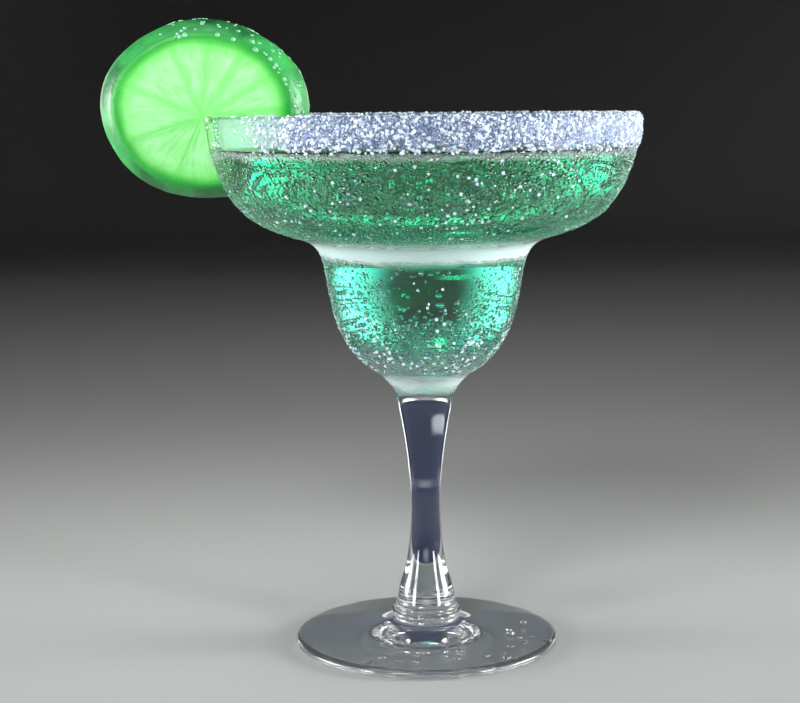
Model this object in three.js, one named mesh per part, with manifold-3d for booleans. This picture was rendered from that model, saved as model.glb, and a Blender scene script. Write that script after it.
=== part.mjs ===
// A margarita in its stemmed glass: a pressed glass with a wide saucer bowl stepped down
// into a deep cup, the green drink up to its level, a salt crust round the lip and a wheel
// of lime pushed onto the rim.
// Millimetres, +Z up. The origin is on the glass's axis, at the underside of its foot.
// The lime sits on the rim at -X, with the face that shows best turned to -Y.
import * as THREE from "three";
import { mergeVertices } from "three/addons/utils/BufferGeometryUtils.js";
import Module from "manifold-3d";

// Glass
const GLASS_HEIGHT = 145.5;
const RIM_RADIUS = 58;
const FOOT_RADIUS = 36.5;
const FOOT_EDGE = 1.1; // radius of the foot's rounded edge
const WALL_CUP = 2.6; // wall thickness low in the cup
const WALL_RIM = 1.7; // and at the lip
const CUP_FLOOR = 76.2; // height of the lowest point inside
const TURNS = 48; // facets round the glass and the drink

// Drink, salt and lime
const DRINK_LEVEL = 136.4;
const GAP = 0.3; // clear space kept between pieces that touch
const SALT_BOTTOM = 138.2; // the crust's lower edge on the outside of the bowl
const SALT_INSIDE = 143.4; // and on the inside
const SALT_THICK = 0.5;
const GRAIN = 0.45; // how far the salt grains stand proud
const LIME_WIDTH = 56;
const LIME_HEIGHT = 48.6;
const LIME_THICK = 9;
const LIME_CENTRE = { x: -59, z: 147.6 };
// Directions of the skins between the lime's segments, in degrees anticlockwise from +X.
const SKINS = [2, 30, 57, 85, 112, 158, 204, 250, 290, 328];

const point = ([r, z]) => new THREE.Vector2(r, z);
const mix = THREE.MathUtils.lerp;

// The outside of the glass from the collar's top to just under the lip, as [radius, height].
const OUTSIDE = [
  [8.1, 11.4],
  [7.3, 15.6],
  [5.6, 21.6],
  [4.6, 28],
  [4.1, 36],
  [4.15, 44],
  [5.1, 54],
  [6.7, 63.8],
  [8.3, 70.4],
  [11.6, 74.8],
  [17.6, 79.5],
  [21.8, 85.2],
  [24.3, 91],
  [25.9, 98],
  [26.9, 104],
  [28.2, 108.4],
  [31, 111.6],
  [36, 113.7],
  [42.4, 116.1],
  [47.6, 119.2],
  [51.7, 123.7],
  [54.6, 129],
  [56.7, 135],
  [57.8, 140.5],
  [RIM_RADIUS, GLASS_HEIGHT - WALL_RIM / 2],
];
const outside = new THREE.SplineCurve(OUTSIDE.map(point));
const STEPS = OUTSIDE.length - 1;
const CUP_INDEX = 10; // the point of that curve where the hollow's wall starts
const CUP_START = CUP_INDEX / STEPS;

// The share of that curve's length at which it comes to a height in the bowl.
function shareAt(height) {
  const above = OUTSIDE.findIndex(([, z]) => z > height);
  const [, low] = OUTSIDE[above - 1];
  const [, high] = OUTSIDE[above];
  return (above - 1 + (height - low) / (high - low)) / STEPS;
}

// The outside of the bowl moved into the glass, by share of the wall and then by a gap.
function insideWall(from, to, steps, share = 1, gap = 0) {
  return Array.from({ length: steps + 1 }, (_, i) => {
    const t = mix(from, to, i / steps);
    const wall = mix(WALL_CUP, WALL_RIM, (t - CUP_START) / (1 - CUP_START));
    const along = outside.getTangent(t);
    const inward = new THREE.Vector2(-along.y, along.x);
    return outside.getPoint(t).addScaledVector(inward, wall * share + gap);
  });
}

// The round bottom of the hollow, from the axis out to where its wall starts.
function cupFloor(gap, steps) {
  const [start, next] = insideWall(CUP_START, CUP_START + 0.01, 1, 1, gap);
  const down = start.clone().sub(next).setLength(6);
  const curve = new THREE.CubicBezierCurve(
    new THREE.Vector2(0, CUP_FLOOR + gap),
    new THREE.Vector2(7, CUP_FLOOR + gap),
    start.clone().add(down),
    start,
  );
  return curve.getPoints(steps).slice(0, -1);
}

const arc = (r, z, size, from, to, steps) =>
  new THREE.EllipseCurve(r, z, size, size, from, to, from > to).getPoints(steps);

// A profile of points turned about the Z axis.
function turned(profile, turns = TURNS) {
  return new THREE.LatheGeometry(profile, turns).rotateX(Math.PI / 2);
}

// Glass: foot with a round edge, a collar of two beads, the waisted stem and the bowl.
const footTop = new THREE.SplineCurve(
  [[FOOT_RADIUS - FOOT_EDGE, 2 * FOOT_EDGE], [26, 2.9], [17, 3.8], [12, 4.9], [9.7, 6.1], [8.9, 7.2]].map(point),
);
const lip = insideWall(1, 1, 1, 0.5)[0];
const glassProfile = [
  new THREE.Vector2(0, 0),
  ...arc(FOOT_RADIUS - FOOT_EDGE, FOOT_EDGE, FOOT_EDGE, -Math.PI / 2, Math.PI / 2, 4),
  ...footTop.getPoints(6).slice(1),
  ...arc(8.9, 8.2, 0.85, -Math.PI / 3, Math.PI / 3, 3),
  ...arc(8.2, 9.9, 0.85, -Math.PI / 3, Math.PI / 3, 3),
  ...outside.getPoints(STEPS),
  ...arc(lip.x, lip.y, WALL_RIM / 2, 0, Math.PI, 4).slice(1, -1),
  ...insideWall(1, CUP_START, STEPS - CUP_INDEX),
  ...cupFloor(0, 4).reverse(),
];
const glassShape = turned(glassProfile);

// Solids are joined and cut with manifold-3d.
const wasm = await Module();
wasm.setup();

function solidOf(geometry) {
  const bare = new THREE.BufferGeometry();
  bare.setAttribute("position", geometry.getAttribute("position"));
  bare.setIndex(geometry.getIndex());
  const merged = mergeVertices(bare, 1e-3);
  return new wasm.Manifold(
    new wasm.Mesh({
      numProp: 3,
      vertProperties: merged.getAttribute("position").array,
      triVerts: new Uint32Array(merged.getIndex().array),
    }),
  );
}

function geometryOf(solid) {
  const mesh = solid.getMesh();
  const geometry = new THREE.BufferGeometry();
  geometry.setAttribute("position", new THREE.BufferAttribute(mesh.vertProperties, 3));
  geometry.setIndex(new THREE.BufferAttribute(mesh.triVerts, 1));
  return geometry;
}

// Lime: a wheel cut across the fruit, so its rind bulges from the smaller front face out to
// the larger back one. Both faces have shallow grooves where the segments' skins meet.
// The profile is [radius, distance in front of the wheel's middle plane], from the back face.
const LIME_PROFILE = [
  [0, -4],
  [1.8, -4],
  [3, -4.4],
  [21.6, -4.4],
  [22.6, -4.2],
  [24, -4.5],
  [25.6, -4.3],
  [26, -3.3],
  [25.6, -1.2],
  [24.2, 1.9],
  [22.3, 4.2],
  [21.4, 4.4],
  [19.9, 4.15],
  [18.6, 4.4],
  [3, 4.4],
  [1.8, 4],
  [0, 4],
];
const LIME_RADIUS = 26; // the profile's own largest radius
const FLESH_RADIUS = 20;
const SKIN_GROOVE = 0.4;
const PER_SEGMENT = 5; // facets round each segment
const LIME_TURNS = SKINS.length * PER_SEGMENT;

// The fruit's outline is uneven: slow lobes round it, as a share of its radius.
const lobes = (angle) => 0.012 * Math.sin(2 * angle + 2.2) + 0.008 * Math.sin(5 * angle);

// The wheel's flesh centres on a hub below the middle of its outline.
const HUB_DROP = 2;

function limeWheel() {
  const shape = new THREE.LatheGeometry(LIME_PROFILE.map(point), LIME_TURNS);
  const at = shape.getAttribute("position");
  for (let i = 0; i < at.count; i++) {
    const station = Math.floor(i / LIME_PROFILE.length) % LIME_TURNS;
    const segment = Math.floor(station / PER_SEGMENT);
    const within = (station % PER_SEGMENT) / PER_SEGMENT;
    const next = SKINS[segment + 1] ?? SKINS[0] + 360;
    const angle = THREE.MathUtils.degToRad(mix(SKINS[segment], next, within));
    const r = Math.hypot(at.getX(i), at.getZ(i));
    const onSkin = within === 0 && r > 2 && r < FLESH_RADIUS;
    const depth = onSkin ? SKIN_GROOVE * Math.sign(at.getY(i)) : 0;
    const grow = 1 + lobes(angle) * (r / LIME_RADIUS);
    const x = Math.cos(angle) * r * grow * (LIME_WIDTH / 2 / LIME_RADIUS);
    const z = Math.sin(angle) * r * grow * (LIME_HEIGHT / 2 / LIME_RADIUS);
    const drop = HUB_DROP * (1 - r / LIME_RADIUS);
    at.setXYZ(i, x, (depth - at.getY(i)) * (LIME_THICK / 9), z - drop);
  }
  // The faces of the turned form point outwards once its axis runs from back to front.
  return shape.translate(LIME_CENTRE.x, 0, LIME_CENTRE.z);
}

// The same wheel's outer form a gap larger all round, to cut its place in the drink.
function limeRoom() {
  const rim = LIME_THICK / 2 + GAP;
  const outline = [[0, -rim], [22.6, -rim], [24.6, -2], [26, 1.2], [26.4, 3.3], [26, rim], [0, rim]];
  const shape = new THREE.LatheGeometry(outline.map(point), LIME_TURNS);
  shape.scale((LIME_WIDTH / 2 / LIME_RADIUS) * 1.02, 1, (LIME_HEIGHT / 2 / LIME_RADIUS) * 1.02);
  return shape.translate(LIME_CENTRE.x, 0, LIME_CENTRE.z);
}

// The slit that the rim stands in: the bowl's wall and lip, a gap thicker on both faces.
function slit() {
  const low = shareAt(LIME_CENTRE.z - LIME_HEIGHT / 2 - 4);
  const outer = insideWall(low, 1, 10, 0, -GAP);
  const inner = insideWall(1, low, 10, 1, GAP);
  const top = arc(lip.x, lip.y, WALL_RIM / 2 + GAP, 0, Math.PI, 4).slice(1, -1);
  const loop = [...outer, ...top, ...inner];
  return turned([...loop, loop[0]]);
}

// Drink: the hollow's own form, a gap inside it, flat on top and cut round the lime.
function drinkSolid() {
  const wall = insideWall(CUP_START, 1, STEPS - CUP_INDEX, 1, GAP);
  const under = wall.filter((p) => p.y < DRINK_LEVEL - 0.5);
  const above = wall.find((p) => p.y >= DRINK_LEVEL);
  const last = under.at(-1);
  const share = (DRINK_LEVEL - last.y) / (above.y - last.y);
  const brim = new THREE.Vector2(mix(last.x, above.x, share), DRINK_LEVEL);
  const profile = [...cupFloor(GAP, 4), ...under, brim, new THREE.Vector2(0, DRINK_LEVEL)];
  return solidOf(turned(profile)).subtract(solidOf(limeRoom()));
}

// Salt: a crust over the lip, with a grain's bump at each point of its outer skin. It stops
// just behind the lime, whose juice has washed it off the rim for some way in front.
const SALT_TURNS = 144;
const SALT_BREAK_BACK = LIME_THICK / 2 + 0.6; // from the lime's middle plane to that end
const SALT_BREAK_FRONT = 26; // and to the end in front of it

// The same draw for the same grain each time, from 0 to 1.
function draw(station, row) {
  const wave = Math.sin(station * 12.9898 + row * 78.233) * 43758.5453;
  return wave - Math.floor(wave);
}

function saltCrust() {
  const layer = (away, rows) => [
    ...insideWall(shareAt(SALT_BOTTOM), 1, rows, 0, -away),
    ...arc(lip.x, lip.y, WALL_RIM / 2 + away, 0, Math.PI, 3).slice(1, -1),
    ...insideWall(1, shareAt(SALT_INSIDE), 1, 1, away),
  ];
  const skin = layer(GAP + SALT_THICK, 3);
  const loop = [...skin, ...layer(GAP, 1).reverse()];
  const shape = turned([...loop, loop[0]], SALT_TURNS);
  const at = shape.getAttribute("position");
  const rows = loop.length + 1;
  for (let i = 0; i < at.count; i++) {
    const station = Math.floor(i / rows) % SALT_TURNS;
    const row = (i % rows) % loop.length;
    if (row >= skin.length) continue;
    const r = Math.hypot(at.getX(i), at.getY(i));
    const up = Math.max(at.getZ(i) - lip.y, 0);
    const bump = new THREE.Vector2(r - lip.x, up).setLength(GRAIN * draw(station, row));
    const ragged = row === 0 ? draw(station, 40) : 0;
    const grow = 1 + bump.x / r;
    at.setXYZ(i, at.getX(i) * grow, at.getY(i) * grow, at.getZ(i) + bump.y - ragged);
  }
  const gapBlock = new THREE.BoxGeometry(24, SALT_BREAK_BACK + SALT_BREAK_FRONT, 30);
  gapBlock.translate(-RIM_RADIUS, (SALT_BREAK_BACK - SALT_BREAK_FRONT) / 2, GLASS_HEIGHT);
  return solidOf(shape).subtract(solidOf(gapBlock));
}

function piece(name, geometry, look) {
  const mesh = new THREE.Mesh(geometry, new THREE.MeshStandardMaterial(look));
  mesh.name = name;
  return mesh;
}

const margarita = new THREE.Group();
margarita.add(
  piece("glass", glassShape, { color: 0xdfe8ea, roughness: 0.03, metalness: 0, transparent: true, opacity: 0.35 }),
  piece("drink", geometryOf(drinkSolid()), { color: 0x1f9a68, roughness: 0.05, metalness: 0, transparent: true, opacity: 0.8 }),
  piece("salt_rim", geometryOf(saltCrust()), { color: 0xeeeff6, roughness: 0.7, metalness: 0 }),
  piece("lime_wheel", geometryOf(solidOf(limeWheel()).subtract(solidOf(slit()))), { color: 0x8bf07f, roughness: 0.4, metalness: 0 }),
);

export default margarita;
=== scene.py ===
"""A margarita: a stepped cocktail glass of green drink, salted on the lip, beaded with
condensation and hung with a wheel of lime. Sizes are in millimetres until a piece is kept."""

import bisect
import math
import random

import bmesh
import bpy
from mathutils import Matrix, Vector, noise


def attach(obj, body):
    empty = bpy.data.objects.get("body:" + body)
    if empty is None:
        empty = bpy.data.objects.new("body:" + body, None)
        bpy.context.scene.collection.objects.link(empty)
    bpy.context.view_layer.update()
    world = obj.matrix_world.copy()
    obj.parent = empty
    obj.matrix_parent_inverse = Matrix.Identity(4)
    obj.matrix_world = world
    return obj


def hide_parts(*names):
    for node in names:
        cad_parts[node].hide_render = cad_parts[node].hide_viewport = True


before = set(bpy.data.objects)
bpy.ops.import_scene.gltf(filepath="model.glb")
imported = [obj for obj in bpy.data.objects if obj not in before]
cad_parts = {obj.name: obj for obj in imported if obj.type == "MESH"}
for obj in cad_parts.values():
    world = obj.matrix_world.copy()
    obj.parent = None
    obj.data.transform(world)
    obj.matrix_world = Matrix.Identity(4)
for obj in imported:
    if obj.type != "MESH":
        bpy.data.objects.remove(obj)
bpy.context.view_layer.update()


# The glass is pressed in one piece from clear soda-lime glass: a broad saucer bowl stepped
# down into a deep cup, a waisted stem with a collar of two beads, and a thin round foot. Cold
# mist clouds the shoulder, the thick cup bottom and a narrow band at the drink's level. Its
# white there is partly real mist and partly painted light, standing in for bright bands of
# light that the glass bends at these places. A faint haze of the same lies over the foot and stem.
BOWL_OUTSIDE = [
    (8.1, 11.4), (7.3, 15.6), (5.6, 21.6), (4.6, 28), (4.1, 36), (4.15, 44), (5.1, 54),
    (6.7, 63.8), (8.3, 70.4), (11.6, 74.8), (17.6, 79.5), (21.8, 85.2), (24.3, 91),
    (25.9, 98), (26.9, 104), (28.2, 108.4), (31, 111.6), (36, 113.7), (42.4, 116.1),
    (47.6, 119.2), (51.7, 123.7), (54.6, 129), (56.7, 135), (57.8, 140.5), (58, 144.65),
]
CUP_INDEX = 10
CUP_FLOOR = 76.2
WALL_LOW = 2.6
WALL_HIGH = 1.7
FOOT_RADIUS = 36.5
FOOT_EDGE = 1.1
FOOT_HOLLOW = 0.9
GLASS_TURNS = 192


def smooth_line(points, steps):
    """Points along a smooth curve through others, with the same steps in each span."""
    line = [Vector(p) for p in points]
    made = []
    for i in range(len(line) - 1):
        before = line[max(i - 1, 0)]
        start, end = line[i], line[i + 1]
        after = line[min(i + 2, len(line) - 1)]
        leave = (end - before) / 2
        arrive = (after - start) / 2
        for k in range(steps):
            t = k / steps
            cubic = 2 * start - 2 * end + leave + arrive
            square = 3 * end - 3 * start - 2 * leave - arrive
            made.append(((cubic * t + square) * t + leave) * t + start)
    return made + [line[-1]]


def arc(centre, radius, start, end, steps):
    """Points on an arc of a profile, from one angle in degrees to another."""
    angles = [math.radians(start + (end - start) * k / steps) for k in range(steps + 1)]
    return [Vector((centre[0] + radius * math.cos(a), centre[1] + radius * math.sin(a))) for a in angles]


def moved_in(line, distances):
    """A profile moved to its left, which on the way up a bowl is into the glass."""
    made = []
    for i, p in enumerate(line):
        along = line[min(i + 1, len(line) - 1)] - line[max(i - 1, 0)]
        made.append(p + Vector((-along.y, along.x)).normalized() * distances[i])
    return made


def bezier(points, steps):
    """Points along a cubic Bezier curve, without its last."""
    made = []
    for k in range(steps):
        t = k / steps
        weights = ((1 - t) ** 3, 3 * t * (1 - t) ** 2, 3 * t * t * (1 - t), t ** 3)
        made.append(sum((w * Vector(p) for w, p in zip(weights, points)), Vector((0, 0))))
    return made


def turned(line, turns, sweep=2 * math.pi):
    """A profile of radius and height spun about the glass's axis into a closed skin."""
    bm = bmesh.new()
    row = [bm.verts.new((p[0], 0, p[1])) for p in line]
    edges = [bm.edges.new(pair) for pair in zip(row, row[1:])]
    if (Vector(line[0]) - Vector(line[-1])).length < 1e-6:
        bmesh.ops.remove_doubles(bm, verts=bm.verts, dist=1e-5)
        row, edges = list(bm.verts), list(bm.edges)
    bmesh.ops.spin(
        bm, geom=row + edges, cent=(0, 0, 0), axis=(0, 0, 1), angle=sweep,
        steps=turns, use_merge=sweep == 2 * math.pi,
    )
    bmesh.ops.remove_doubles(bm, verts=bm.verts, dist=1e-4)
    bmesh.ops.holes_fill(bm, edges=[edge for edge in bm.edges if edge.is_boundary])
    bmesh.ops.recalc_face_normals(bm, faces=bm.faces)
    return bm


def finished(bm, name, material, smooth=True):
    """Turns a bmesh in millimetres into an object in metres, with its material."""
    bmesh.ops.scale(bm, vec=(0.001, 0.001, 0.001), verts=bm.verts)
    mesh = bpy.data.meshes.new(name)
    bm.to_mesh(mesh)
    bm.free()
    mesh.materials.append(material)
    for face in mesh.polygons:
        face.use_smooth = smooth
    piece = bpy.data.objects.new(name, mesh)
    bpy.context.scene.collection.objects.link(piece)
    return piece


def keep(bm, name, material, smooth=True):
    """Finishes a piece of the object, which rides on the glass."""
    piece = finished(bm, name, material, smooth)
    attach(piece, "root")
    return piece


def new_material(name):
    """A material, its node tree and its Principled shader."""
    material = bpy.data.materials.new(name)
    material.use_nodes = True
    return material, material.node_tree, material.node_tree.nodes["Principled BSDF"]


def add_node(tree, kind, inputs=None, **settings):
    """A shader node with its settings, and values or links for its inputs."""
    node = tree.nodes.new(kind)
    for name, value in settings.items():
        setattr(node, name, value)
    for name, value in (inputs or {}).items():
        if isinstance(value, bpy.types.NodeSocket):
            tree.links.new(value, node.inputs[name])
        else:
            node.inputs[name].default_value = value
    return node


def remap(tree, value, low, high, to_low=0.0, to_high=1.0):
    """A value mapped from one range to another, and kept inside it."""
    ranges = {"From Min": low, "From Max": high, "To Min": to_low, "To Max": to_high}
    return add_node(tree, "ShaderNodeMapRange", {"Value": value, **ranges}).outputs["Result"]


def multiply(tree, first, second):
    """The product of two values."""
    return add_node(tree, "ShaderNodeMath", {0: first, 1: second}, operation="MULTIPLY").outputs["Value"]


def mix_colours(tree, amount, first, second):
    """A mix of two colours, each three numbers or a socket."""
    node = add_node(tree, "ShaderNodeMix", {"Factor": amount}, data_type="RGBA")
    for socket, colour in ((node.inputs[6], first), (node.inputs[7], second)):
        if isinstance(colour, bpy.types.NodeSocket):
            tree.links.new(colour, socket)
        else:
            socket.default_value = (*colour, 1)
    return node.outputs[2]


def colour_ramp(tree, value, steps):
    """A ramp over a value, with a colour at each of its places from low to high."""
    node = add_node(tree, "ShaderNodeValToRGB", {"Fac": value})
    elements = node.color_ramp.elements
    while len(elements) < len(steps):
        elements.new(1.0)
    for element, (place, colour) in zip(elements, steps):
        element.position = place
        element.color = (*colour, 1)[:4]
    return node


bowl_line = smooth_line(BOWL_OUTSIDE, 6)
wall_line = bowl_line[CUP_INDEX * 6:]
wall_sizes = [
    WALL_LOW + (WALL_HIGH - WALL_LOW) * i / (len(wall_line) - 1) for i in range(len(wall_line))
]
inner_line = moved_in(wall_line, wall_sizes)


def cup_floor(start, raised, steps):
    """The round bottom of the hollow, from the axis out to where its wall starts."""
    down = (start[0] - start[1]).normalized() * 6
    ends = [(0, CUP_FLOOR + raised), (7, CUP_FLOOR + raised), start[0] + down, start[0]]
    return bezier(ends, steps)


foot_top = smooth_line(
    [(FOOT_RADIUS - FOOT_EDGE, 2 * FOOT_EDGE), (26, 2.9), (17, 3.8), (12, 4.9), (9.7, 6.1), (8.9, 7.2)], 5
)
lip = moved_in(wall_line, [s / 2 for s in wall_sizes])[-1]
foot_under = smooth_line(
    [(0, FOOT_HOLLOW), (16, 0.75 * FOOT_HOLLOW), (28, 0.2 * FOOT_HOLLOW), (33, 0)], 4
)
glass_line = (
    foot_under
    + arc((FOOT_RADIUS - FOOT_EDGE, FOOT_EDGE), FOOT_EDGE, -90, 90, 10)
    + foot_top[1:]
    + arc((8.9, 8.2), 0.85, -60, 60, 8)
    + arc((8.2, 9.9), 0.85, -60, 60, 8)
    + bowl_line
    + arc(lip, WALL_HIGH / 2, 0, 180, 12)[1:-1]
    + inner_line[::-1]
    + cup_floor(inner_line, 0, 14)[::-1]
)

# The white bands of this ramp are partly mist and partly painted light, standing in for the bright bent light
# at these heights.
MIST_AND_PAINTED_LIGHT_HEIGHTS = [
    (7.5, 0.04), (12.5, 0.012), (71.1, 0.012), (74.5, 0.8), (79, 0.25), (86, 0), (108.2, 0),
    (110.2, 0.9), (112.6, 0.85), (115.6, 0), (136.2, 0), (136.7, 0.3), (137.5, 0.3), (138, 0),
]
MIST_AND_PAINTED_LIGHT_TOP = 150
MIST_AND_PAINTED_LIGHT_DRIFT = 2.2

clear_glass, tree, shader = new_material("clear_pressed_glass")
shader.inputs["IOR"].default_value = 1.51
spot = add_node(tree, "ShaderNodeTexCoord")
cloud = add_node(
    tree, "ShaderNodeTexNoise", {"Vector": spot.outputs["Object"], "Scale": 260, "Detail": 3.0}
)
place = add_node(tree, "ShaderNodeSeparateXYZ", {"Vector": spot.outputs["Object"]})
drift = add_node(
    tree, "ShaderNodeMath", {0: cloud.outputs["Fac"], 1: MIST_AND_PAINTED_LIGHT_DRIFT / 1000, 2: place.outputs["Z"]},
    operation="MULTIPLY_ADD",
)
mist_and_painted_light_level = remap(tree, drift.outputs["Value"], 0, MIST_AND_PAINTED_LIGHT_TOP / 1000)
mist_and_painted_light_steps = [(height / MIST_AND_PAINTED_LIGHT_TOP, (amount, amount, amount)) for height, amount in MIST_AND_PAINTED_LIGHT_HEIGHTS]
mist_and_painted_light = colour_ramp(tree, mist_and_painted_light_level, mist_and_painted_light_steps).outputs["Color"]
tree.links.new(remap(tree, mist_and_painted_light, 0, 1, 1, 0.3), shader.inputs["Transmission Weight"])
mist_and_painted_light_colour = mix_colours(tree, mist_and_painted_light, (0.98, 0.995, 1.0), (0.76, 1.0, 0.99))
tree.links.new(mist_and_painted_light_colour, shader.inputs["Base Color"])
tree.links.new(remap(tree, mist_and_painted_light, 0, 1, 0, 0.45), shader.inputs["Roughness"])

glass = keep(turned(glass_line, GLASS_TURNS), "pressed_glass", clear_glass)
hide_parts("glass")


# The lip was wetted with lime and dipped in coarse salt. The salt is a thin packed crust,
# ragged at its lower edge, with loose cubic crystals all over it. The lime's juice has washed
# it off where the wheel sits, and for some way in front only a thin clear film of it is left.
SALT_TOP_ROWS = 9
SALT_STATIONS = 620
SALT_THICK = 0.32
SALT_BACK_END = 5.2
SALT_FRONT_END = 20
SALT_GRAINS_START = 34
SALT_FULL = 62
SALT_FADE = 12
SALT_BOTTOM = 136.6
SALT_WALL_TOP = 144
SALT_INSIDE = 142.6

salt_random = random.Random(11)


def lip_track(away, low, high, rows):
    """A line a given distance off the glass, up the outside, over the lip and down inside."""
    outside = [p for p in bowl_line if p.y >= low]
    inside = [p for p in inner_line if p.y >= high]
    up = moved_in(outside, [-away] * len(outside))
    down = moved_in(inside, [away] * len(inside))[::-1]
    return up + arc(lip, WALL_HIGH / 2 + away, 0, 180, rows)[1:-1] + down


def grainy(x, y, z, size):
    """A lumpy value from 0 to 1 at a place, with lumps of a given size."""
    return 0.5 + 0.5 * noise.noise(Vector((x, y, z)) / size)


def past_lime(angle):
    """How many degrees an angle on the front half lies past the lime, or 180 on the back half."""
    return 180 + math.degrees(angle) if angle < 0 else 180


def salt_share(angle):
    """How much salt is left at an angle round the rim, from 0 in front of the lime to 1."""
    share = (past_lime(angle) - SALT_GRAINS_START) / (SALT_FULL - SALT_GRAINS_START)
    return min(max(share, 0), 1)


def salt_edge(angle):
    """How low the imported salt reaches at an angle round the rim."""
    place = Vector((math.cos(angle), math.sin(angle), 0))
    ragged = 1.3 * noise.noise(place * 9) + 1.1 * noise.noise(place * 34)
    return 137.1 + 1.1 * salt_share(angle) + ragged * (0.2 + 0.8 * salt_share(angle))


under = lip_track(0.02, SALT_BOTTOM, SALT_INSIDE, SALT_TOP_ROWS)
over = lip_track(SALT_THICK, SALT_BOTTOM, SALT_INSIDE, SALT_TOP_ROWS)
crust_line = over + under[::-1]
crust_sweep = math.radians(360 - SALT_BACK_END - SALT_FRONT_END)
crust = turned(crust_line + [crust_line[0]], SALT_STATIONS, crust_sweep)
front_end = math.radians(SALT_FRONT_END - 180)
to_front_end = Matrix.Rotation(front_end, 3, "Z")
bmesh.ops.rotate(crust, cent=(0, 0, 0), matrix=to_front_end, verts=crust.verts)
wall_heights = [p.y for p in bowl_line]
grains_layer = crust.verts.layers.float.new("grains")
for vert in crust.verts:
    x, y, z = vert.co
    radius = math.hypot(x, y)
    angle = math.atan2(y, x)
    fade = max(1 - (past_lime(angle) - SALT_FRONT_END) / SALT_FADE, 0)
    vert[grains_layer] = salt_share(angle) - fade
    outer = (Vector((radius, z)) - lip).length > WALL_HIGH / 2 + SALT_THICK / 2
    if z < SALT_WALL_TOP and radius > lip.x:
        edge = salt_edge(angle)
        raised = edge + (z - SALT_BOTTOM) / (SALT_WALL_TOP - SALT_BOTTOM) * (SALT_WALL_TOP - edge)
        was, now = (bisect.bisect_left(wall_heights, height) for height in (z, raised))
        slip = bowl_line[now].x - bowl_line[was].x
        vert.co = Vector((x * (1 + slip / radius), y * (1 + slip / radius), raised))
        outer = z > SALT_BOTTOM + 0.1 and radius > bowl_line[was].x + SALT_THICK / 2
    if outer:
        out = Vector((radius - lip.x, max(z - lip.y, 0))).normalized()
        lump = 0.3 * grainy(x, y, z, 0.75) + 0.3 * grainy(x, y, z, 2.3) - 0.14
        lump -= 0.3 * (1 - salt_share(angle))
        vert.co += Vector((x / radius * out.x, y / radius * out.x, out.y)) * lump

salt_crust_look, tree, shader = new_material("packed_salt")
spot = add_node(tree, "ShaderNodeTexCoord")
grain_cells = {"Vector": spot.outputs["Object"], "Scale": 1900}
grains = add_node(tree, "ShaderNodeTexVoronoi", grain_cells, feature="DISTANCE_TO_EDGE")
grain_tint = add_node(tree, "ShaderNodeTexVoronoi", grain_cells)
grey = add_node(tree, "ShaderNodeSeparateColor", {"Color": grain_tint.outputs["Color"]})
bright = colour_ramp(tree, grey.outputs["Red"], [(0, (0.06, 0.1, 0.2)), (0.9, (0.42, 0.53, 0.74))])
# Painted shade: the gaps between the grains are painted dark. The grains' own tone varies at random.
painted_gap_shade = remap(tree, grains.outputs["Distance"], 0.02, 0.14)
grains_with_painted_gap_shade = mix_colours(tree, painted_gap_shade, (0.03, 0.06, 0.13), bright.outputs["Color"])
salt_left = add_node(tree, "ShaderNodeAttribute", attribute_name="grains").outputs["Fac"]
cover = remap(tree, salt_left, 0.15, 0.8)
salted = mix_colours(tree, cover, (0.5, 0.95, 0.68), grains_with_painted_gap_shade)
tree.links.new(salted, shader.inputs["Base Color"])
film = remap(tree, salt_left, -1, 0.2, 1, 0.8)
under_grains = remap(tree, cover, 0, 1, 1, 0.12)
tree.links.new(multiply(tree, film, under_grains), shader.inputs["Transmission Weight"])
tree.links.new(remap(tree, salt_left, -1, -0.1, 0.02, 0.5), shader.inputs["Roughness"])
relief = add_node(
    tree, "ShaderNodeBump", {"Height": grains.outputs["Distance"], "Strength": 0.8, "Distance": 0.0003}
)
tree.links.new(relief.outputs["Normal"], shader.inputs["Normal"])

salt = keep(crust, "salt_crust", salt_crust_look)
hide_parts("salt_rim")


CRYSTAL_COUNT = 10500
CRYSTAL_SIZES = (0.38, 0.9)
BELOW_EDGE = 0.22


def cube_shape():
    """One salt crystal, a cube a millimetre across."""
    bm = bmesh.new()
    bmesh.ops.create_cube(bm, size=1)
    mesh = bpy.data.meshes.new("one_crystal")
    bm.to_mesh(mesh)
    bm.free()
    return mesh


def repeated(shape, places):
    """One bmesh of a small shape set at each of a list of places."""
    bm = bmesh.new()
    for place in places:
        copy = shape.copy()
        copy.transform(place)
        bm.from_mesh(copy)
        bpy.data.meshes.remove(copy)
    bpy.data.meshes.remove(shape)
    return bm


def along_line(line):
    """The lengths from a profile's start to each of its points."""
    lengths = [0.0]
    for a, b in zip(line, line[1:]):
        lengths.append(lengths[-1] + (b - a).length)
    return lengths


def on_line(line, lengths, distance):
    """The place on a profile at a distance from its start, and the direction out of it."""
    i = min(max(bisect.bisect_right(lengths, distance), 1), len(line) - 1)
    a, b = line[i - 1], line[i]
    place = a.lerp(b, (distance - lengths[i - 1]) / (lengths[i] - lengths[i - 1]))
    along = (b - a).normalized()
    return place, Vector((along.y, -along.x))


def set_on_glass(place, out, angle):
    """A matrix that puts a shape's base on the turned skin, facing out of it."""
    turn = Matrix.Rotation(angle, 4, "Z")
    facing = Vector((out.x, 0, out.y)).to_track_quat("Z", "Y").to_matrix().to_4x4()
    return turn @ Matrix.Translation((place.x, 0, place.y)) @ facing


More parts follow.
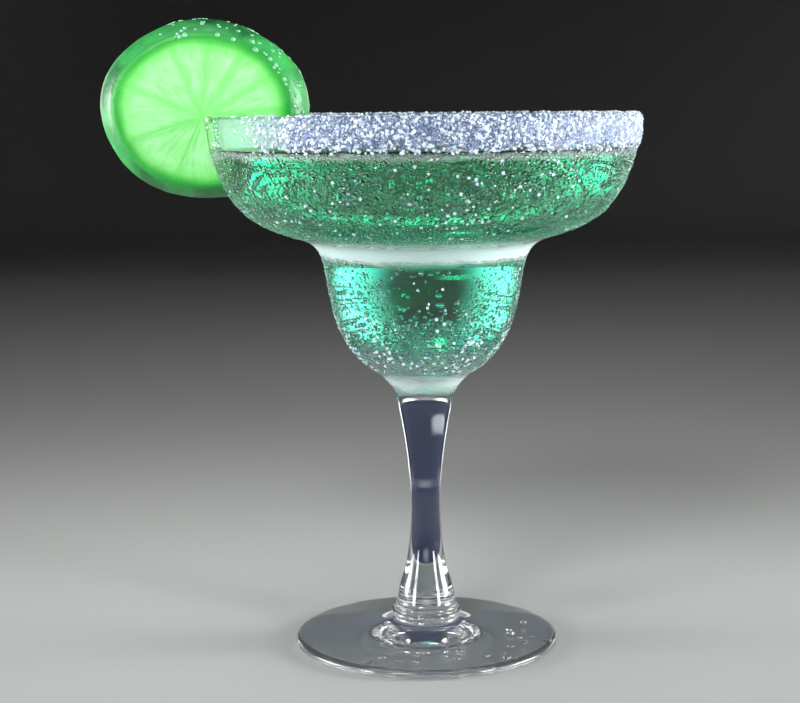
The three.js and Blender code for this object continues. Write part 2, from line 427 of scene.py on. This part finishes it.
crystal_line = lip_track(SALT_THICK, SALT_BOTTOM + 0.2, SALT_INSIDE, SALT_TOP_ROWS)
crystal_lengths = along_line(crystal_line)
crystal_places = []
while len(crystal_places) < CRYSTAL_COUNT:
    angle = salt_random.uniform(-math.pi, math.pi)
    place, out = on_line(crystal_line, crystal_lengths, salt_random.uniform(0, crystal_lengths[-1]))
    bare = place.x > lip.x and place.y < salt_edge(angle) - 0.3
    if bare and salt_random.random() > BELOW_EDGE:
        continue
    behind_lime = math.pi - angle < math.radians(2.5 * SALT_BACK_END)
    if behind_lime or salt_random.random() > salt_share(angle) + 0.01:
        continue
    size = CRYSTAL_SIZES[0] + (CRYSTAL_SIZES[1] - CRYSTAL_SIZES[0]) * salt_random.random() ** 1.7
    lift = -0.28 if bare or salt_share(angle) < 0.3 else salt_random.uniform(-0.25, 0.08)
    turn = salt_random.uniform(0, 6.3)
    axis = Vector([salt_random.uniform(-1, 1) for _ in range(3)]).normalized()
    tumble = Matrix.Rotation(turn, 4, axis)
    wide, tall = size * salt_random.uniform(0.7, 1.1), size * salt_random.uniform(0.6, 1)
    stretch = Matrix.Diagonal((size, wide, tall, 1))
    crystal_places.append(
        set_on_glass(place, out, angle) @ Matrix.Translation((0, 0, lift)) @ tumble @ stretch
    )

crystal_look, tree, shader = new_material("salt_crystals")
shader.inputs["Roughness"].default_value = 0.25
shader.inputs["IOR"].default_value = 1.54
shader.inputs["Transmission Weight"].default_value = 0.15
spot = add_node(tree, "ShaderNodeTexCoord")
cells = add_node(tree, "ShaderNodeTexVoronoi", {"Vector": spot.outputs["Object"], "Scale": 1400})
grey = add_node(tree, "ShaderNodeSeparateColor", {"Color": cells.outputs["Color"]})
shades = colour_ramp(tree, grey.outputs["Red"], [(0, (0.32, 0.45, 0.8)), (0.32, (0.84, 0.94, 1))])
tree.links.new(shades.outputs["Color"], shader.inputs["Base Color"])

keep(repeated(cube_shape(), crystal_places), "salt_crystals", crystal_look, smooth=False)


# White grains of salt stuck to the wet glass lie thinly on the saucer and thickest low on the cup.
# They are painted glints: white specks that stand in for the glints of larger beads of water.
GLINT_GRAINS_ON_SAUCER = 260
GLINT_GRAINS_ON_CUP = 420
GLINT_GRAIN_SIZES = (0.45, 0.8)


def from_front(angle):
    """An angle round the glass from its front, in degrees to the right."""
    return (math.degrees(angle) + 90 + 180) % 360 - 180


def glint_grain_places(low, high, count, favour):
    """Places for loose grains on the glass between two heights, more at the favoured ones."""
    line = [p for p in bowl_line if low <= p.y <= high]
    lengths = along_line(line)
    places = []
    while len(places) < count:
        spot, out = on_line(line, lengths, salt_random.uniform(0, lengths[-1]))
        angle = salt_random.uniform(-math.pi, math.pi)
        patch = noise.noise(Vector((math.cos(angle) * 3.1, math.sin(angle) * 3.1, spot.y / 9)))
        if salt_random.random() > favour(from_front(angle), spot.y) * (0.6 + 1.2 * patch):
            continue
        size = salt_random.uniform(*GLINT_GRAIN_SIZES)
        turn = Matrix.Rotation(salt_random.uniform(0, 6.3), 4, "Z")
        tip = Matrix.Rotation(salt_random.uniform(-0.3, 0.3), 4, "X")
        places.append(
            set_on_glass(spot, out, angle) @ Matrix.Translation((0, 0, size / 9)) @ turn @ tip
            @ Matrix.Diagonal((size, size * 0.9, size * 0.4, 1))
        )
    return places


glint_grains = glint_grain_places(
    115, 136, GLINT_GRAINS_ON_SAUCER, lambda side, height: 0.4 + math.exp(-(((side - 12) / 24) ** 2))
)
glint_grains += glint_grain_places(
    77, 107, GLINT_GRAINS_ON_CUP, lambda side, height: 0.12 + math.exp(-(((height - 84) / 7) ** 2))
)
keep(repeated(cube_shape(), glint_grains), "salt_grains_as_painted_glints", crystal_look, smooth=False)


# The lime is a wheel cut across the fruit near its end, so the front face is smaller than
# the back and the rind slopes between them. Thin skins part the juicy segments, which swell
# a little from the cut, and a slit in the wheel's lower side holds it on the glass.
LIME_CENTRE = Vector((-59, 0, 147.6))
LIME_HALF = (28, 24.3)
LIME_RADIUS = 26
LIME_PROFILE = [
    (0, -4.15), (1.4, -4.17), (2.8, -4.35), (6, -4.42), (12, -4.45), (17, -4.44), (20, -4.4),
    (21.3, -4.32), (22.1, -4.1), (22.9, -3.5), (23.6, -2.7), (24.7, -1.0), (25.5, 1.0),
    (25.95, 3.0), (25.8, 3.9), (25.2, 4.35), (24.2, 4.42), (23, 4.36), (21.4, 4.4),
    (19, 4.44), (12, 4.45), (6, 4.42), (2.8, 4.35), (1.4, 4.17), (0, 4.15),
]
SKINS = [2, 30, 57, 85, 112, 158, 204, 250, 290, 328]
HUB_DROP = 2
SKIN_HALF = 0.42
LIME_HALF_THICK = 4.5
FLESH_END = 21
RIND_START = 22.8


def lime_reach(angle, r):
    """How far the fruit's uneven outline stretches a radius at an angle."""
    return 1 + (0.012 * math.sin(2 * angle + 2.2) + 0.008 * math.sin(5 * angle)) * r / LIME_RADIUS


def lime_place(angle, r):
    """Where a point of the round wheel lies on the real one, across and up."""
    grow = r * lime_reach(angle, r) / LIME_RADIUS
    drop = HUB_DROP * (1 - r / LIME_RADIUS)
    return math.cos(angle) * grow * LIME_HALF[0], math.sin(angle) * grow * LIME_HALF[1] - drop


def lime_round(across, up):
    """The angle and radius on the round wheel of a point on the real one."""
    angle, r = 0.0, LIME_RADIUS * 0.7
    for _ in range(8):
        level = (up + HUB_DROP * (1 - r / LIME_RADIUS)) / LIME_HALF[1]
        angle = math.atan2(level, across / LIME_HALF[0])
        r = LIME_RADIUS * math.hypot(across / LIME_HALF[0], level) / lime_reach(angle, r)
    return angle, r


def in_segment(angle):
    """A segment's number, the angle to its nearer skin and the angle from its middle, in radians."""
    degrees = (math.degrees(angle) - SKINS[0]) % 360 + SKINS[0]
    segment = bisect.bisect_right(SKINS, degrees) - 1
    after = SKINS[segment + 1] if segment + 1 < len(SKINS) else SKINS[0] + 360
    away = min(degrees - SKINS[segment], after - degrees)
    return segment, math.radians(away), math.radians(degrees - (SKINS[segment] + after) / 2)


def lime_wheel(stations, steps, shrink=0.0, relief=True):
    """The wheel of lime, spun about its own axis and then pulled to the fruit's shape."""
    bm = bmesh.new()
    line = smooth_line(LIME_PROFILE, steps)
    thinner = 1 - shrink / LIME_HALF_THICK
    row = [bm.verts.new((max(p.x - shrink * (p.x > 1), 0), p.y * thinner, 0)) for p in line]
    edges = [bm.edges.new(pair) for pair in zip(row, row[1:])]
    bmesh.ops.spin(
        bm, geom=row + edges, cent=(0, 0, 0), axis=(0, 1, 0), angle=2 * math.pi,
        steps=stations, use_merge=True,
    )
    bmesh.ops.remove_doubles(bm, verts=bm.verts, dist=1e-4)
    bmesh.ops.recalc_face_normals(bm, faces=bm.faces)
    for vert in bm.verts:
        x, y, z = vert.co
        angle, r = math.atan2(z, x), math.hypot(x, z)
        across, up = lime_place(angle, r)
        depth = y
        if relief and r < FLESH_END and abs(y) > 3.5:
            segment, away, off_middle = in_segment(angle)
            away *= r
            near_end = min((FLESH_END - r) / 2, 1)
            groove = 0.09 * math.exp(-((away / SKIN_HALF) ** 2)) * min(r / 3, 1) * near_end
            swell = 0.12 * min(away / 2.5, 1)
            sacs = noise.noise(Vector((off_middle * r / 1.1, r / 4.2, segment * 7.1 + y)))
            ripple = 0.13 * sacs * min(away, 1) * near_end
            depth = y - math.copysign(groove - swell - ripple, y)
        elif relief and r > RIND_START:
            pores = 0.05 * noise.noise(Vector((x, y * 1.5, z)) / 0.9)
            pores += 0.1 * noise.noise(Vector((x, y, z)) / 4)
            across, up = across * (1 + pores / r), up * (1 + pores / r)
        vert.co = LIME_CENTRE + Vector((across, depth, up))
    return bm


def cut_away(piece, cutter_bm):
    """Cuts a piece's mesh by another shape, both in millimetres, and returns what is left."""
    made = []
    for name, bm in (("cut_piece", piece), ("cutter", cutter_bm)):
        mesh = bpy.data.meshes.new(name)
        bm.to_mesh(mesh)
        bm.free()
        made.append(bpy.data.objects.new(name, mesh))
        bpy.context.scene.collection.objects.link(made[-1])
    cut = made[0].modifiers.new("cut", "BOOLEAN")
    cut.operation = "DIFFERENCE"
    cut.solver = "EXACT"
    cut.object = made[1]
    bpy.context.view_layer.update()
    evaluated = made[0].evaluated_get(bpy.context.evaluated_depsgraph_get())
    result = bpy.data.meshes.new_from_object(evaluated)
    left = bmesh.new()
    left.from_mesh(result)
    for thing in made:
        mesh = thing.data
        bpy.data.objects.remove(thing)
        bpy.data.meshes.remove(mesh)
    bpy.data.meshes.remove(result)
    return left


SLIT_PLAY = 0.15
SLIT_BOTTOM = 118

slit_outside = moved_in([p for p in bowl_line if p.y > SLIT_BOTTOM], [-SLIT_PLAY] * len(bowl_line))
slit_inside = moved_in([p for p in inner_line if p.y > SLIT_BOTTOM], [SLIT_PLAY] * len(bowl_line))
slit_line = slit_outside + arc(lip, WALL_HIGH / 2 + SLIT_PLAY, 0, 180, 8)[1:-1] + slit_inside[::-1]
lime_bm = cut_away(lime_wheel(400, 4), turned(slit_line + [slit_line[0]], GLASS_TURNS))

reach_layer = lime_bm.verts.layers.float.new("reach")
skin_layer = lime_bm.verts.layers.float.new("skin")
sac_layer = lime_bm.verts.layers.float_vector.new("sac")
for vert in lime_bm.verts:
    local = vert.co - LIME_CENTRE
    angle, r = lime_round(local.x, local.z)
    segment, away, off_middle = in_segment(angle)
    vert[reach_layer] = r / LIME_RADIUS
    vert[skin_layer] = away * r
    vert[sac_layer] = (off_middle * r, r, segment * 9.3 + math.copysign(3, local.y))

FLESH_SHADES = [(0.25, (0.26, 0.88, 0.24)), (0.75, (0.4, 0.93, 0.4))]
MILKY_FLESH = (0.52, 0.97, 0.56)
SKIN_GREEN = (0.13, 0.78, 0.1)
RING_SHADES = [
    (0.0, (0.2, 0.88, 0.16, 0.5)), (0.06, (0.2, 0.88, 0.16, 0.35)), (0.15, (0.2, 0.88, 0.16, 0.0)),
    (0.67, (0.15, 0.82, 0.12, 0.0)), (0.77, (0.09, 0.7, 0.06, 0.5)), (0.82, (0.03, 0.5, 0.03, 0.85)),
    (0.86, (0.012, 0.38, 0.03, 0.97)), (0.9, (0.015, 0.32, 0.04, 1.0)), (0.92, (0.02, 0.26, 0.05, 1.0)),
]
RIND_SHADES = [(0.35, (0.008, 0.13, 0.03)), (0.7, (0.05, 0.42, 0.1))]
PAINTED_LIGHT_RING = (0.2, 0.8, 0.24)
PAINTED_LIGHT_RIND = (0.16, 0.74, 0.22)
PAINTED_LIGHT_TURN = -40

lime_look, tree, shader = new_material("cut_lime")
reach = add_node(tree, "ShaderNodeAttribute", attribute_name="reach").outputs["Fac"]
skin = add_node(tree, "ShaderNodeAttribute", attribute_name="skin").outputs["Fac"]
sac = add_node(tree, "ShaderNodeAttribute", attribute_name="sac").outputs["Vector"]
long_sacs = add_node(tree, "ShaderNodeMapping", {"Vector": sac, "Scale": (1.0, 0.22, 1.0)})
juice = add_node(
    tree, "ShaderNodeTexNoise", {"Vector": long_sacs.outputs["Vector"], "Scale": 0.9, "Detail": 1.5}
)
flesh = colour_ramp(tree, juice.outputs["Fac"], FLESH_SHADES)
pale = add_node(tree, "ShaderNodeTexNoise", {"Vector": sac, "Scale": 0.2, "Detail": 2.0})
pale_spots = remap(tree, pale.outputs["Fac"], 0.45, 0.75, 0, 0.5)
milky = mix_colours(tree, pale_spots, flesh.outputs["Color"], MILKY_FLESH)
with_skins = mix_colours(tree, remap(tree, skin, 0.2, 1.8, 0.48, 0), milky, SKIN_GREEN)
spot = add_node(tree, "ShaderNodeTexCoord")
patches = add_node(tree, "ShaderNodeTexNoise", {"Vector": spot.outputs["Object"], "Scale": 90, "Detail": 4.0})
uneven = add_node(
    tree, "ShaderNodeMath", {0: patches.outputs["Fac"], 1: 0.09, 2: reach}, operation="MULTIPLY_ADD"
)
rings = colour_ramp(tree, uneven.outputs["Value"], RING_SHADES)
# Painted light: the pith ring and the rind are painted paler towards the wheel's upper left, where the lamps
# light it most.
painted_light_side = add_node(
    tree, "ShaderNodeMapping",
    {"Vector": spot.outputs["Object"], "Location": -LIME_CENTRE / 1000,
     "Rotation": (0, math.radians(PAINTED_LIGHT_TURN), 0)},
)
place = add_node(tree, "ShaderNodeSeparateXYZ", {"Vector": painted_light_side.outputs["Vector"]})
height = remap(tree, place.outputs["Z"], -0.012, 0.028, 0, 0.75)
ring_with_painted_light = mix_colours(tree, height, rings.outputs["Color"], PAINTED_LIGHT_RING)
body = mix_colours(tree, rings.outputs["Alpha"], with_skins, ring_with_painted_light)
rind = colour_ramp(tree, patches.outputs["Fac"], RIND_SHADES)
rind_with_painted_light = mix_colours(tree, height, rind.outputs["Color"], PAINTED_LIGHT_RIND)
on_rind = remap(tree, reach, 0.85, 0.872)
tree.links.new(mix_colours(tree, on_rind, body, rind_with_painted_light), shader.inputs["Base Color"])
pores = add_node(tree, "ShaderNodeTexVoronoi", {"Vector": spot.outputs["Object"], "Scale": 900})
wet = add_node(
    tree, "ShaderNodeBump", {"Height": pores.outputs["Distance"], "Strength": 0.25, "Distance": 0.0003}
)
tree.links.new(wet.outputs["Normal"], shader.inputs["Normal"])
shader.inputs["Roughness"].default_value = 0.42
shader.inputs["Subsurface Weight"].default_value = 0.35
shader.inputs["Subsurface Radius"].default_value = (0.4, 1.0, 0.35)
shader.inputs["Subsurface Scale"].default_value = 0.003
shader.inputs["Coat Weight"].default_value = 0.05
shader.inputs["Coat Roughness"].default_value = 0.15

lime = keep(lime_bm, "lime_slice", lime_look)
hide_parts("lime_wheel")


# The drink is tequila, orange liqueur and lime juice shaken with ice and strained clear. It
# fills the hollow to 9 mm under the lip, climbs the wall a little and wets the lime's lower
# side. It reaches a tenth of a millimetre into glass and lime, so no air shows between them.
DRINK_LEVEL = 136.4
INTO_WALL = 0.1
CLIMB = [(0.0, 1.0), (0.3, 0.55), (0.8, 0.25), (1.6, 0.07), (2.8, 0.0)]

wet_line = moved_in(wall_line, [s - INTO_WALL for s in wall_sizes])
wet_wall = [p for p in wet_line if p.y < DRINK_LEVEL + CLIMB[0][1] - 0.3]
last, above = wet_line[len(wet_wall) - 1], wet_line[len(wet_wall)]
share = (DRINK_LEVEL + CLIMB[0][1] - last.y) / (above.y - last.y)
brim = last.lerp(above, share)
surface = [Vector((brim.x - away, DRINK_LEVEL + rise)) for away, rise in CLIMB]
drink_line = cup_floor(wet_line, -INTO_WALL, 14) + wet_wall + surface + [Vector((0, DRINK_LEVEL))]

green_drink, tree, shader = new_material("green_cocktail")
shader.inputs["Base Color"].default_value = (1, 1, 1, 1)
shader.inputs["Roughness"].default_value = 0.0
shader.inputs["IOR"].default_value = 1.345
shader.inputs["Transmission Weight"].default_value = 1.0
tint = add_node(tree, "ShaderNodeVolumeAbsorption")
tint.inputs["Color"].default_value = (0.05, 0.955, 0.805, 1)
tint.inputs["Density"].default_value = 62
tree.links.new(tint.outputs["Volume"], tree.nodes["Material Output"].inputs["Volume"])

drink_bm = cut_away(turned(drink_line, GLASS_TURNS), lime_wheel(100, 2, shrink=INTO_WALL, relief=False))
drink = keep(drink_bm, "green_drink", green_drink)
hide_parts("drink")


# Shaking has left a thin ring of froth where the drink's surface meets the glass. It is a few
# layers of fine bubbles that float on the drink and cling to the wall, broken by the lime.
FROTH_COUNT = 2300
FROTH_SIZES = (0.14, 0.34)

froth_random = random.Random(23)


def bubble_shape():
    """One bubble of froth, a ball two across."""
    bm = bmesh.new()
    bmesh.ops.create_uvsphere(bm, u_segments=8, v_segments=5, radius=1)
    mesh = bpy.data.meshes.new("one_bubble")
    bm.to_mesh(mesh)
    bm.free()
    return mesh


froth_places = []
while len(froth_places) < FROTH_COUNT:
    angle = froth_random.uniform(-math.pi, math.pi)
    size = froth_random.uniform(*FROTH_SIZES)
    away = 0.15 + size + abs(froth_random.gauss(0, 0.45))
    spread = noise.noise(Vector((math.cos(angle) * 5, math.sin(angle) * 5, 0)))
    radius = brim.x - away * (1 + 0.6 * spread)
    at_lime = math.cos(angle) < 0 and abs(math.sin(angle) * radius) < 4.7 + size
    if at_lime or froth_random.random() > 0.75 + spread:
        continue
    rise = max(0.9 - 1.1 * away, 0) + 0.2 * size
    froth_places.append(
        Matrix.Translation((radius * math.cos(angle), radius * math.sin(angle), DRINK_LEVEL + rise))
        @ Matrix.Diagonal((size, size, size * 0.8, 1))
    )

froth_look, tree, shader = new_material("froth")
shader.inputs["Base Color"].default_value = (0.62, 0.95, 0.88, 1)
shader.inputs["Roughness"].default_value = 0.2
shader.inputs["IOR"].default_value = 1.33
shader.inputs["Transmission Weight"].default_value = 0.4

keep(repeated(bubble_shape(), froth_places), "froth_ring", froth_look)


# Condensation has settled on the cold saucer bowl and on the cup, but not on the shoulder
# between them. It is clear water in fine beads that nearly touch, except where the cup's front
# and back are wiped, and each bead is a flattened dome that sits a little into the glass.
BEAD_SINK = 0.06
BEAD_FLATNESS = (0.42, 0.6)

bead_random = random.Random(5)


def bead_shape():
    """One bead of water, a dome on a flat base, two across and one high."""
    bm = bmesh.new()
    bmesh.ops.create_uvsphere(bm, u_segments=8, v_segments=4, radius=1)
    bmesh.ops.bisect_plane(
        bm, geom=list(bm.verts) + list(bm.edges) + list(bm.faces), dist=1e-4,
        plane_co=(0, 0, 0), plane_no=(0, 0, 1), clear_inner=True,
    )
    rim = [edge for edge in bm.edges if edge.is_boundary]
    bmesh.ops.contextual_create(bm, geom=rim)
    bmesh.ops.recalc_face_normals(bm, faces=bm.faces)
    mesh = bpy.data.meshes.new("one_bead")
    bm.to_mesh(mesh)
    bm.free()
    return mesh


def bead_places(low, high, count, sizes, crowding, allowed):
    """Places for beads on the glass between two heights, none of them crowding another."""
    line = [p for p in bowl_line if low <= p.y <= high]
    lengths = along_line(line)
    taken = {}
    places = []
    tries = 0
    cell = 2 * sizes[1]
    while len(places) < count and tries < count * 14:
        tries += 1
        distance = bead_random.uniform(0, lengths[-1])
        spot, out = on_line(line, lengths, distance)
        if bead_random.random() > spot.x / 58:
            continue
        angle = bead_random.uniform(-math.pi, math.pi)
        r = sizes[0] + (sizes[1] - sizes[0]) * bead_random.random() ** 2.2
        if bead_random.random() > allowed(angle, spot):
            continue
        here = Vector((spot.x * math.cos(angle), spot.x * math.sin(angle), spot.y))
        key = tuple(int(math.floor(v / cell)) for v in here)
        near = [
            other for dx in (-1, 0, 1) for dy in (-1, 0, 1) for dz in (-1, 0, 1)
            for other in taken.get((key[0] + dx, key[1] + dy, key[2] + dz), ())
        ]
        if any((here - centre).length < crowding * (r + size) for centre, size in near):
            continue
        taken.setdefault(key, []).append((here, r))
        tall = r * bead_random.uniform(*BEAD_FLATNESS)
        wide = r * bead_random.uniform(0.85, 1.15)
        places.append(
            set_on_glass(spot, out, angle)
            @ Matrix.Translation((0, 0, -BEAD_SINK))
            @ Matrix.Rotation(bead_random.uniform(0, 6.3), 4, "Z")
            @ Matrix.Diagonal((wide, r, tall + BEAD_SINK, 1))
        )
    return places


TRACK_LOW = (35, 117)
TRACK_HIGH = (54, 126.5)
TRACK_HALF = 0.75


def on_saucer(angle, spot):
    """How likely a bead is at a place on the saucer bowl, with none on the track of a drop."""
    along = (from_front(angle) - TRACK_LOW[0]) / (TRACK_HIGH[0] - TRACK_LOW[0])
    if -0.1 < along < 1.05:
        track = TRACK_LOW[1] + (TRACK_HIGH[1] - TRACK_LOW[1]) * max(along, 0) ** 1.6
        if abs(spot.y - track) < TRACK_HALF:
            return 0
    patch = noise.noise(Vector((math.cos(angle) * 3, math.sin(angle) * 3, spot.y / 9)))
    return 0.78 + 0.6 * patch


WIPED_HEIGHTS = (91, 107.5)
WIPED_WIDTHS = (15, 40)


def on_cup(angle, spot):
    """How likely a bead is at a place on the cup, nearly dry where front and back are wiped."""
    low, high = WIPED_HEIGHTS
    up = min(max((spot.y - low) / (high - low), 0), 1)
    half = WIPED_WIDTHS[0] + (WIPED_WIDTHS[1] - WIPED_WIDTHS[0]) * up
    ragged = 5 * noise.noise(Vector((math.cos(angle) * 4, math.sin(angle) * 4, spot.y / 5)))
    side = abs(from_front(angle))
    inside = min((half + ragged - min(side, 180 - side)) / 6, (spot.y - low + ragged / 3) / 2)
    wiped = min(max(inside, 0), 1)
    patch = noise.noise(Vector((math.cos(angle) * 4, math.sin(angle) * 4, spot.y / 6)))
    shoulder = min(max((109.5 - spot.y) / 2, 0), 1)
    return max(0.02, (0.85 + 0.5 * patch) * (1 - wiped)) * shoulder


water, tree, shader = new_material("beads_of_water")
shader.inputs["Base Color"].default_value = (1, 1, 1, 1)
shader.inputs["Roughness"].default_value = 0.0
shader.inputs["IOR"].default_value = 1.33
shader.inputs["Transmission Weight"].default_value = 1.0

saucer_places = bead_places(113.4, 137.6, 7600, (0.34, 0.95), 0.84, on_saucer)
cup_places = bead_places(76, 109.5, 4300, (0.26, 0.72), 0.9, on_cup)
half = len(saucer_places) // 2
bead_groups = [
    ("beads_on_saucer_first", saucer_places[:half]),
    ("beads_on_saucer_second", saucer_places[half:]),
    ("beads_on_cup", cup_places),
]
for name, places in bead_groups:
    keep(repeated(bead_shape(), places), name, water)


# A few drops have fallen on the foot, most of them at its front right, and the lime's rind is
# wet with drops of its own juice, most of them at its upper right.
FOOT_DROPS = 26
LIME_DROPS = 130

foot_drops = []
for _ in range(FOOT_DROPS):
    angle = math.radians(bead_random.gauss(28, 34) - 90)
    spot, out = on_line(foot_top, along_line(foot_top), bead_random.uniform(0.5, 13))
    size = bead_random.uniform(0.5, 1.3)
    foot_drops.append(
        set_on_glass(spot, out, angle) @ Matrix.Translation((0, 0, -BEAD_SINK))
        @ Matrix.Diagonal((size * 1.2, size, 0.4 * size + BEAD_SINK, 1))
    )
keep(repeated(bead_shape(), foot_drops), "drops_on_foot", water)

rind_line = smooth_line(LIME_PROFILE, 4)
rind_rows = [i for i, p in enumerate(rind_line) if p.x > 21.5]
lime_drops = []
for _ in range(LIME_DROPS):
    around = math.radians(bead_random.gauss(42, 40))
    row = bead_random.choice(rind_rows)
    here, after = rind_line[row], rind_line[row + 1]
    across, up = lime_place(around, here.x)
    further, higher = lime_place(around, after.x)
    turned_on = lime_place(around + 0.01, here.x)
    around_rind = Vector((turned_on[0] - across, 0, turned_on[1] - up))
    over_rind = Vector((further - across, after.y - here.y, higher - up))
    size = bead_random.uniform(0.3, 0.75)
    facing = around_rind.cross(over_rind).normalized().to_track_quat("Z", "Y").to_matrix().to_4x4()
    lime_drops.append(
        Matrix.Translation(LIME_CENTRE + Vector((across, here.y, up))) @ facing
        @ Matrix.Translation((0, 0, -0.1)) @ Matrix.Diagonal((size, size, 0.45 * size + 0.1, 1))
    )

# The drops are painted pale green and partly opaque. These are painted glints, standing in for the light that
# clear drops catch.
lime_drops_painted_glint, tree, shader = new_material("drops_with_painted_glints")
shader.inputs["Base Color"].default_value = (0.4, 0.95, 0.6, 1)
shader.inputs["Roughness"].default_value = 0.08
shader.inputs["IOR"].default_value = 1.34
shader.inputs["Transmission Weight"].default_value = 0.4

keep(repeated(bead_shape(), lime_drops), "drops_on_lime", lime_drops_painted_glint)


# The studio: a plain pale floor that curves up into a wall all round, soft lights overhead,
# in front, at both sides and behind, a dark card behind the stem that shows only through the
# glass, and a camera that looks slightly down at the rim from half a metre away.
FLOOR_REACH = 1500
FLOOR_CURVE = 900
FLOOR_WALL_TOP = 2600
FLOOR_GAP = 0.05
FLOOR_TURNS = 96

floor_line = (
    [Vector((0, 0)), Vector((FLOOR_REACH, 0))]
    + arc((FLOOR_REACH, FLOOR_CURVE), FLOOR_CURVE, -90, 0, 24)
    + [Vector((FLOOR_REACH + FLOOR_CURVE, FLOOR_WALL_TOP))]
)
floor_bm = turned(floor_line, FLOOR_TURNS)
bmesh.ops.translate(floor_bm, vec=(0, 0, -FLOOR_GAP), verts=floor_bm.verts)
bmesh.ops.reverse_faces(floor_bm, faces=floor_bm.faces)
floor_look, tree, shader = new_material("pale_floor")
shader.inputs["Base Color"].default_value = (0.5, 0.51, 0.5, 1)
shader.inputs["Roughness"].default_value = 0.7
shader.inputs["Specular IOR Level"].default_value = 0
finished(floor_bm, "studio_floor", floor_look)

FLAG_HALF = 55
FLAG_HEIGHTS = (5.5, 73)
FLAG_BEHIND = 30

flag_bm = bmesh.new()
corners = [(-FLAG_HALF, 0), (FLAG_HALF, 0), (FLAG_HALF, 1), (-FLAG_HALF, 1)]
flag_bm.faces.new([flag_bm.verts.new((x, FLAG_BEHIND, FLAG_HEIGHTS[end])) for x, end in corners])
flag_look, tree, shader = new_material("dark_blue_card")
shader.inputs["Base Color"].default_value = (0.01, 0.014, 0.05, 1)
shader.inputs["Specular IOR Level"].default_value = 0
flag = finished(flag_bm, "flag_behind_stem", flag_look, smooth=False)
flag.visible_camera = False
flag.visible_shadow = False


SOFT_EDGE = 1.6


def soft_light(name, place, aim, width, height, power, spread):
    """A softbox in metres and watts, turned to face a point and brightest in its middle."""
    data = bpy.data.lights.new(name, "AREA")
    data.shape = "RECTANGLE"
    data.size = width
    data.size_y = height
    data.energy = power
    data.spread = math.radians(spread)
    data.use_nodes = True
    tree = data.node_tree
    over = add_node(tree, "ShaderNodeNewGeometry")
    parts = add_node(tree, "ShaderNodeSeparateXYZ", {"Vector": over.outputs["Parametric"]})
    fades = []
    for part in (parts.outputs["X"], parts.outputs["Y"]):
        other = add_node(tree, "ShaderNodeMath", {0: 1.0, 1: part}, operation="SUBTRACT")
        fades.append(multiply(tree, multiply(tree, part, other.outputs["Value"]), 4.0))
    both = multiply(tree, *fades)
    soft = add_node(tree, "ShaderNodeMath", {0: both, 1: SOFT_EDGE}, operation="POWER")
    tree.links.new(soft.outputs[0], tree.nodes["Emission"].inputs["Strength"])
    light = bpy.data.objects.new(name, data)
    facing = Vector(place) - Vector(aim)
    light.rotation_euler = facing.to_track_quat("Z", "Y").to_euler()
    light.location = place
    light.visible_camera = False
    bpy.context.scene.collection.objects.link(light)
    return light


soft_light("overhead", (-0.1, -0.05, 1.0), (0, 0, 0), 0.8, 0.7, 1.0, 80)
soft_light("key", (-0.35, -0.85, 0.75), (-0.02, 0, 0.14), 0.5, 0.4, 1.9, 60)
soft_light("left_front", (-0.75, -0.6, 0.16), (0, 0, 0.13), 0.3, 0.5, 1.8, 60)
soft_light("right_front", (0.75, -0.6, 0.16), (0, 0, 0.13), 0.3, 0.5, 2.1, 60)
soft_light("low_front", (0, -0.95, 0.06), (0, 0, 0.12), 1.1, 0.16, 0.3, 60)
soft_light("left_edge", (-0.55, 0.02, 0.16), (0, 0, 0.13), 0.4, 0.5, 1.9, 60)
soft_light("right_edge", (0.55, 0.02, 0.16), (0, 0, 0.13), 0.4, 0.5, 2.8, 60)
soft_light("left_behind", (-0.6, 1.1, 0.24), (0, 0, 0.12), 1.0, 0.5, 0.58, 60)
soft_light("right_behind", (0.6, 1.1, 0.24), (0, 0, 0.12), 1.0, 0.5, 0.56, 60)
soft_light("low_left", (-0.8, 0.75, 0.08), (0, 0, 0.12), 0.9, 0.3, 0.25, 60)
soft_light("low_right", (0.8, 0.75, 0.08), (0, 0, 0.12), 0.9, 0.3, 0.25, 60)
soft_light("middle_behind", (0, 1.3, 0.38), (0, 0, 0.12), 1.0, 0.5, 0.05, 60)
soft_light("low_behind", (0, 1.1, 0.04), (0, 0, 0.12), 1.6, 0.1, 0.13, 60)

world = bpy.data.worlds.new("studio")
world.use_nodes = True
background = world.node_tree.nodes["Background"]
background.inputs["Color"].default_value = (0.9, 0.95, 1.0, 1)
background.inputs["Strength"].default_value = 0.07
bpy.context.scene.world = world
bpy.context.scene.view_settings.view_transform = "Standard"
bpy.context.scene.cycles.max_bounces = 24
bpy.context.scene.cycles.transmission_bounces = 24
bpy.context.scene.cycles.glossy_bounces = 8

CAMERA_PLACE = (-0.00675, -0.4769, 0.1493)
CAMERA_DOWN = 8.1
CAMERA_ROLL = -0.5
CAMERA_LENS = 79

camera_data = bpy.data.cameras.new("camera")
camera_data.lens = CAMERA_LENS
camera_data.sensor_width = 36
camera = bpy.data.objects.new("camera", camera_data)
camera.location = CAMERA_PLACE
aimed = Matrix.Rotation(math.radians(90 - CAMERA_DOWN), 4, "X")
rolled = Matrix.Rotation(math.radians(CAMERA_ROLL), 4, "Z")
camera.rotation_euler = (aimed @ rolled).to_euler()
bpy.context.scene.collection.objects.link(camera)
bpy.context.scene.camera = camera
